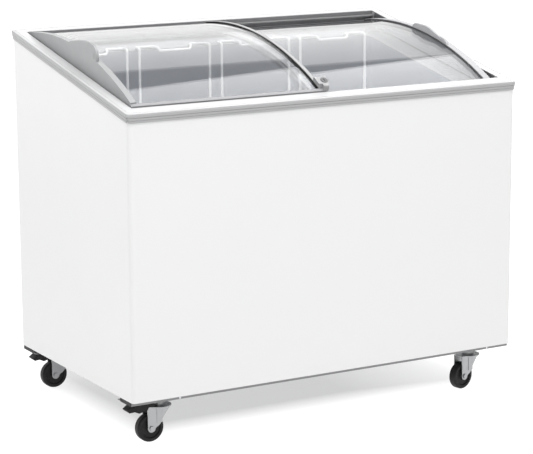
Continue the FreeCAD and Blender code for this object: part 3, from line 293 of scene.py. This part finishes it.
# one plastic for the top frame, with painted shade on its upright faces and painted light on its top
BAR_SIDE_PAINTED_SHADE = (0.385, 0.385, 0.39)
BAR_TOP_PAINTED_LIGHT = (0.56, 0.56, 0.565)
BAR_STREAK = (0.30, 0.30, 0.305)
TRACK_GREY = (0.23, 0.23, 0.235)
TRIM_DARK = (0.10, 0.10, 0.105)
GLIDE_GREY = (0.30, 0.30, 0.31)
COLLAR_GREY = (0.42, 0.425, 0.43)
RIM_PALE = (0.37, 0.372, 0.375)
LOCK_GREY = (0.34, 0.34, 0.345)
BARREL_GREY = (0.10, 0.10, 0.105)
WIRE_WHITE = (0.93, 0.93, 0.93)
PLASTIC_BLACK = (0.010, 0.010, 0.010)
ZINC = (0.40, 0.405, 0.41)
GALVANISED = (0.55, 0.56, 0.57)
BRIGHT_STEEL = (0.74, 0.75, 0.77)
ALUMINIUM_DARK = (0.50, 0.52, 0.56)
ALUMINIUM_BRIGHT = (0.66, 0.68, 0.72)
RUBBER_BLACK = (0.018, 0.018, 0.018)
WHEEL_BLACK = (0.013, 0.013, 0.013)
RUBBER_SCUFF = (0.075, 0.073, 0.07)
COPPER_STAIN = (0.42, 0.20, 0.12)
COPPER_BRIGHT = (0.78, 0.42, 0.28)
FOAM_DARK = (0.76, 0.62, 0.36)
FOAM_PALE = (0.88, 0.76, 0.50)
GLASS_TINT = (0.965, 0.968, 0.972)
RIM_TINT = (0.985, 0.985, 0.985)
LIP_TINT = (0.97, 0.97, 0.97)
SEAL_DARK = (0.035, 0.035, 0.036)
SEAL_WORN = (0.06, 0.06, 0.062)

# each lid's end panel and outer rim
LID_PLASTIC = {
    "left": {"name": "panel_grey", "color": (0.32, 0.325, 0.33), "roughness": 0.36},
    "right": {"name": "panel_pale", "color": (0.42, 0.42, 0.43), "roughness": 0.4},
}
# the heights between which the dust on painted sheet thins out to nothing, and its greatest share
DUST_HEIGHTS = (0.11, 0.19)
DUST_SHARE = 0.05
# how much the glass mirrors when looked at straight on, how much dust adds, and the power by which it rises
GLASS_FACING = 0.035
GLASS_DUST = 0.012
GLASS_FALLOFF = 4.2
RIM_SHINE = 0.05
# the seals are clear between these X's, near the middle where the lids lap
LIP_CLEAR_FROM = -0.1
LIP_CLEAR_TO = {"left": -0.0105, "right": 0.05}


def painted_sheet(name, color, roughness=0.32):
    """Powder coat: a fine orange peel, faint cloudy tone, and a little dust low down."""
    n = Nodes(name)
    peel = n.noise(420.0, detail=2.0)
    tone = n.blend(n.noise(2.2, detail=4.0), shade(color, 0.985), color)
    dust = n.spread(n.along("Z"), *DUST_HEIGHTS, DUST_SHARE, 0.0)
    dusty = n.blend(n.number("MULTIPLY", dust, n.noise(30.0, detail=4.0)), tone, SHEET_DUST)
    gloss = n.uneven(n.noise(14.0, detail=4.0), roughness, roughness + 0.06)
    relief = n.bump(peel, 0.12 * MM, 0.35, under=n.soft_edges(1.2 * MM))
    return n.surface(dusty, gloss, normal=relief)


def moulded(name, color, roughness=0.4, shine=0.5):
    """Moulded plastic: fine grain and slightly uneven gloss."""
    n = Nodes(name)
    tone = n.blend(n.noise(9.0, detail=4.0), shade(color, 0.965), color)
    gloss = n.uneven(n.noise(45.0, detail=4.0), roughness - 0.04, roughness + 0.07)
    grain = n.bump(n.noise(1300.0, detail=2.0), 0.08 * MM, 0.5)
    return n.surface(tone, gloss, normal=grain, Specular_IOR_Level=shine)


def frame_bar(name):
    """White plastic of the top frame, with painted light: the top is painted lighter and the upright faces
    greyer, as light and shade, and faint lines along X.
    """
    n = Nodes(name)
    # painted light: the tone goes from the shaded side grey to the lit top grey as the face turns up
    painted_light_share = n.spread(n.part_of(n.facing, "Z"), 0.55, 0.95, 0.0, 1.0)
    lines = n.noise(700.0, detail=2.0, stretch=(0.01, 1.0, 1.0))
    tone = n.blend(n.number("MULTIPLY", lines, 0.1), n.blend(painted_light_share, BAR_SIDE_PAINTED_SHADE, BAR_TOP_PAINTED_LIGHT), BAR_STREAK)
    gloss = n.uneven(n.noise(5.0, detail=3.0), 0.30, 0.34)
    return n.surface(tone, gloss, normal=n.bump(lines, 0.04 * MM, 0.3))


def extruded(name, color):
    """Plastic drawn through a die: faint lines along X."""
    n = Nodes(name)
    lines = n.noise(900.0, detail=2.0, stretch=(0.004, 1.0, 1.0))
    tone = n.blend(lines, shade(color, 0.9), color)
    gloss = n.uneven(lines, 0.36, 0.50)
    return n.surface(tone, gloss, normal=n.bump(lines, 0.12 * MM, 0.5, under=n.soft_edges(0.6 * MM)))


def zinc(name, color, roughness):
    """Zinc plate: a soft sheen that clouds over in patches."""
    n = Nodes(name)
    patch = n.noise(60.0, detail=5.0, rough=0.6)
    tone = n.blend(patch, shade(color, 0.82), color)
    gloss = n.spread(patch, 0.25, 0.75, roughness - 0.07, roughness + 0.16)
    grain = n.bump(n.noise(900.0, detail=3.0), 0.06 * MM, 0.5, under=n.soft_edges(0.7 * MM))
    return n.surface(tone, gloss, metallic=1.0, normal=grain)


def stucco_aluminium(name):
    """Stucco sheet: a close pebbled emboss over speckled aluminium."""
    n = Nodes(name)
    pebble = n.noise(210.0, detail=1.5, rough=0.55)
    relief = n.number("MULTIPLY_ADD", n.cells(150.0, "SMOOTH_F1"), 0.5, pebble)
    speck = n.spread(n.noise(600.0, detail=2.0), 0.35, 0.65, 0.0, 1.0)
    tone = n.blend(speck, ALUMINIUM_DARK, ALUMINIUM_BRIGHT)
    gloss = n.uneven(pebble, 0.30, 0.46)
    return n.surface(tone, gloss, metallic=0.75, normal=n.bump(relief, 0.6 * MM, 0.6))


def rubber(name, color, roughness):
    """Black rubber: fine grain, with grey scuffs."""
    n = Nodes(name)
    scuff = n.spread(n.noise(85.0, detail=6.0, rough=0.7), 0.55, 0.8, 0.0, 0.5)
    tone = n.blend(scuff, color, RUBBER_SCUFF)
    gloss = n.spread(scuff, 0.0, 0.5, roughness, roughness + 0.2)
    grain = n.bump(n.noise(1100.0, detail=3.0), 0.1 * MM, 0.5, under=n.soft_edges(0.8 * MM))
    return n.surface(tone, gloss, normal=grain, Specular_IOR_Level=0.2)


def copper(name):
    """Copper tube, dull and brown where it has stained."""
    n = Nodes(name)
    stain = n.noise(70.0, detail=5.0, rough=0.65)
    tone = n.blend(stain, COPPER_STAIN, COPPER_BRIGHT)
    gloss = n.spread(stain, 0.2, 0.8, 0.45, 0.25)
    return n.surface(tone, gloss, metallic=1.0, normal=n.bump(n.noise(700.0, detail=2.0), 0.05 * MM, 0.5))


def foam(name):
    """Yellowish rigid foam, full of small cells."""
    n = Nodes(name)
    tone = n.blend(n.noise(14.0, detail=4.0), FOAM_DARK, FOAM_PALE)
    return n.surface(tone, 0.85, normal=n.bump(n.cells(420.0), 0.6 * MM, 0.7))


def glass(name, tint, shine=1.0):
    """Thin clear glass or plastic: it passes light straight on, mirrors more the flatter it is looked at, and
    has a faint film of dust. shine scales its mirroring."""
    n = Nodes(name)
    clear = n.add("ShaderNodeBsdfTransparent")
    n.put(clear.inputs["Color"], tint)
    mirror = n.add("ShaderNodeBsdfGlossy")
    n.put(mirror.inputs["Color"], (1.0, 1.0, 1.0))
    n.put(mirror.inputs["Roughness"], n.uneven(n.noise(35.0, detail=4.0), 0.0, 0.02))
    flat = n.add("ShaderNodeLayerWeight").outputs["Facing"]
    film = n.spread(n.noise(7.0, detail=5.0), 0.3, 0.8, GLASS_FACING, GLASS_FACING + GLASS_DUST)
    mirrored = n.number("ADD", film, n.number("POWER", flat, GLASS_FALLOFF))
    return n.mixed(n.number("MULTIPLY", mirrored, shine), clear, mirror)


def lip_seal(name, clear_to):
    """Dark rubber that is clear from LIP_CLEAR_FROM to clear_to along X."""
    n = Nodes(name)
    dark = n.add("ShaderNodeBsdfPrincipled")
    n.put(dark.inputs["Base Color"], n.blend(n.noise(60.0, detail=4.0), SEAL_DARK, SEAL_WORN))
    n.put(dark.inputs["Roughness"], n.uneven(n.noise(90.0, detail=4.0), 0.45, 0.6))
    clear = n.add("ShaderNodeBsdfTransparent")
    n.put(clear.inputs["Color"], LIP_TINT)
    across = n.along("X")
    beyond = n.spread(across, LIP_CLEAR_FROM, LIP_CLEAR_FROM + 0.1 * MM, 0.0, 1.0)
    before = n.spread(across, clear_to, clear_to + 0.2 * MM, 1.0, 0.0)
    return n.mixed(n.number("MULTIPLY", beyond, before), dark, clear)


# ---- dressing ----------------------------------------------------------------------------------------------

def dress(material, *names):
    """Gives CAD nodes a material."""
    for name in names:
        slots = nodes[name].data.materials
        slots.clear()
        slots.append(material)


def dress_cabinet():
    """The casing, the top frame, the lining and the baskets."""
    dress(painted_sheet("sheet_white", SHEET_WHITE), "cabinet_wrap", "rear_grille")
    dress(frame_bar("frame_white"), "frame_front", "frame_rear", "frame_left", "frame_right")
    dress(moulded("collar_grey", COLLAR_GREY), "liner_collar")
    dress(extruded("track_grey", TRACK_GREY), "lid_tracks")
    dress(extruded("trim_dark", TRIM_DARK), "side_trims")
    dress(stucco_aluminium("stucco_aluminium"), "inner_liner")
    dress(zinc("galvanised", GALVANISED, 0.45), "back_panel", "bottom_panel")
    dress(painted_sheet("rail_grey", RAIL_GREY, 0.4), "base_rails")
    baskets = ["basket_%d" % (k + 1) for k in range(BASKETS)]
    dress(moulded("wire_white", WIRE_WHITE, 0.3), *baskets)


def dress_machine():
    """The foam, the cooling circuit and the compressor."""
    dress(foam("foam"), "insulation")
    dress(copper("copper"), "evaporator_tube", "condenser_tube", "pipework")
    dress(painted_sheet("compressor_black", COMPRESSOR_BLACK, 0.38), "compressor")
    dress(rubber("grommet_black", RUBBER_BLACK, 0.55), "compressor_grommets")


def dress_lids():
    """Both lids, the lock and the bright screws."""
    glide_grey = extruded("glide_grey", GLIDE_GREY)
    for side in LIDS:
        dress(moulded(**LID_PLASTIC[side]), side + "_lid_end_panel", side + "_lid_outer_rim")
        dress(glide_grey, side + "_lid_glides")
        dress(lip_seal("seal_" + side, LIP_CLEAR_TO[side]), side + "_lid_seals")
        dress(glass("lid_glass_" + side, GLASS_TINT), side + "_lid_glass")
    dress(moulded("rim_pale", RIM_PALE, 0.45), "left_lid_inner_rim")
    dress(glass("rim_clear", RIM_TINT, RIM_SHINE), "right_lid_inner_rim")
    dress(moulded("lock_grey", LOCK_GREY, 0.3), "lock_housing")
    dress(moulded("barrel_grey", BARREL_GREY, 0.3), "lock_barrel")
    dress(zinc("bright_steel", BRIGHT_STEEL, 0.22), "panel_screws", "lock_bolt")


def dress_castors():
    """The castors, and every other piece in the pedals' black plastic."""
    zinc_plate = zinc("zinc_plate", ZINC, 0.34)
    wheel_black = rubber("wheel_black", WHEEL_BLACK, 0.5)
    dress(zinc_plate, "castor_plates", "castor_bolts")
    for corner in CORNERS:
        dress(zinc_plate, "fork_" + corner, "axle_" + corner)
        dress(wheel_black, "wheel_" + corner)
    black = moulded("black_plastic", PLASTIC_BLACK, 0.42, shine=0.2)
    dress(black, "pedal_front_left", "pedal_rear_left", "rail_plugs")
    dress(black, "relay_box", "thermostat", "thermostat_knob", "cable_gland")


# ---- make it -----------------------------------------------------------------------------------------------

bpy.context.scene.view_settings.view_transform = "Standard"
make_camera()
make_world()
make_lamps()
make_floor()
dress_cabinet()
dress_machine()
dress_lids()
dress_castors()
